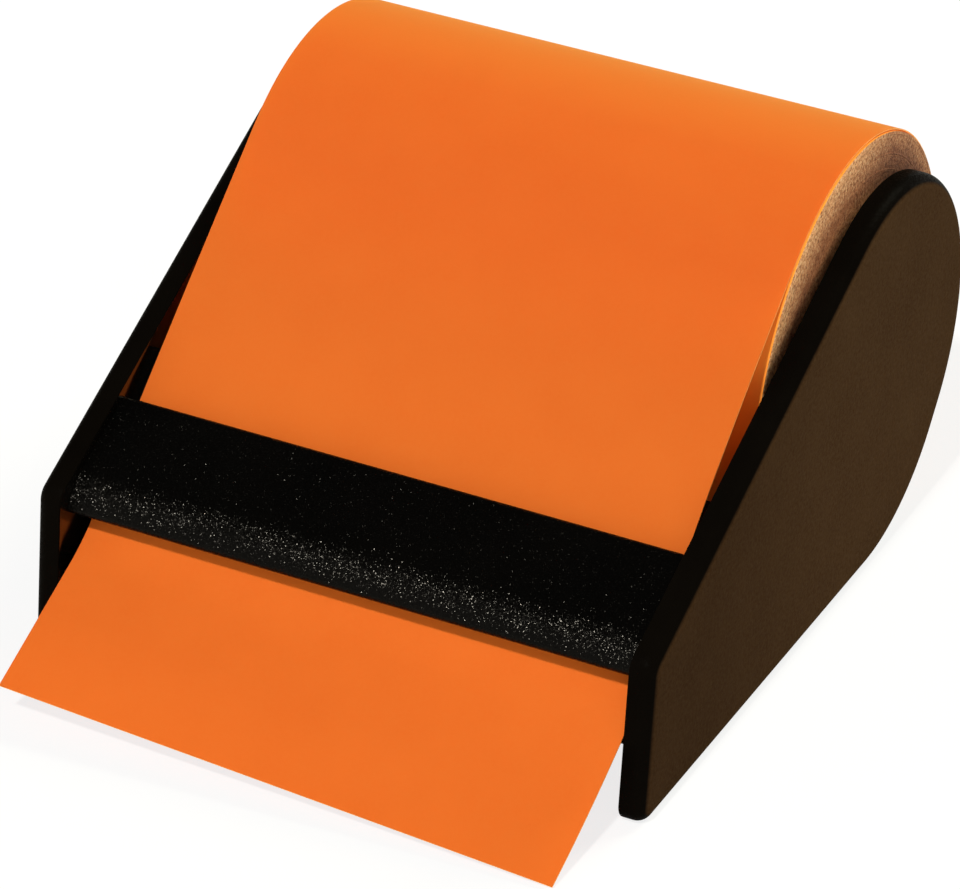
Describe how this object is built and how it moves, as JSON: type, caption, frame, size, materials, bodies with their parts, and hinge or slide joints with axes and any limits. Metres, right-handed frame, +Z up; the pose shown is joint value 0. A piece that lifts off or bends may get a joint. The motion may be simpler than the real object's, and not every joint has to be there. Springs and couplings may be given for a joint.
{
  "type": "sticky note roll dispenser",
  "caption": "Desk dispenser: teardrop cheeks carry a note paper roll on hubs, and the sheet runs from the roll's top under a sloping round-nosed bar.",
  "frame": {"origin": "on the desk, under the middle of the whole length from the note's tip to the back of the roll, and halfway between the cheeks", "axes": "+X along the roll to the right cheek, +Y to the back, +Z up"},
  "size_m": [0.0676, 0.0911, 0.0478],
  "materials": {
    "cheek_plastic": "spark-eroded texture",
    "bar_plastic": "spark-eroded texture",
    "hub_plastic": "moulded",
    "blade_steel": "brushed",
    "pin_steel": "turned",
    "pad_rubber": "matte",
    "card": "wound kraft card",
    "wound_paper": "cut paper edges",
    "note_paper": "uncoated dyed paper"
  },
  "bodies": {
    "frame": {"left_cheek": "cheek_plastic", "right_cheek": "cheek_plastic", "front_bar": "bar_plastic", "tear_blade": "blade_steel", "bar_pins_set": "pin_steel", "paper_bed": "bar_plastic", "bed_pins_set": "pin_steel", "base_plate": "bar_plastic", "base_pins_set": "pin_steel", "front_grip_pad": "pad_rubber", "rear_grip_pad": "pad_rubber", "left_hub": "hub_plastic", "right_hub": "hub_plastic", "left_hub_screw": "pin_steel", "right_hub_screw": "pin_steel", "paper_web": "note_paper"},
    "roll": {"core_tube": "card", "paper_roll": "wound_paper"},
    "note": {"note_tongue": "note_paper"}
  },
  "joints": [
    {"name": "roll_spin", "type": "hinge", "parent": "frame", "child": "roll", "pos_m": [0, 0.02225, 0.02455], "axis": [1, 0, 0], "continuous": true},
    {"name": "note_lift", "type": "hinge", "parent": "frame", "child": "note", "pos_m": [0, -0.0277, 0.01255], "axis": [-1, 0, 0], "range_deg": [0, 50]}
  ]
}
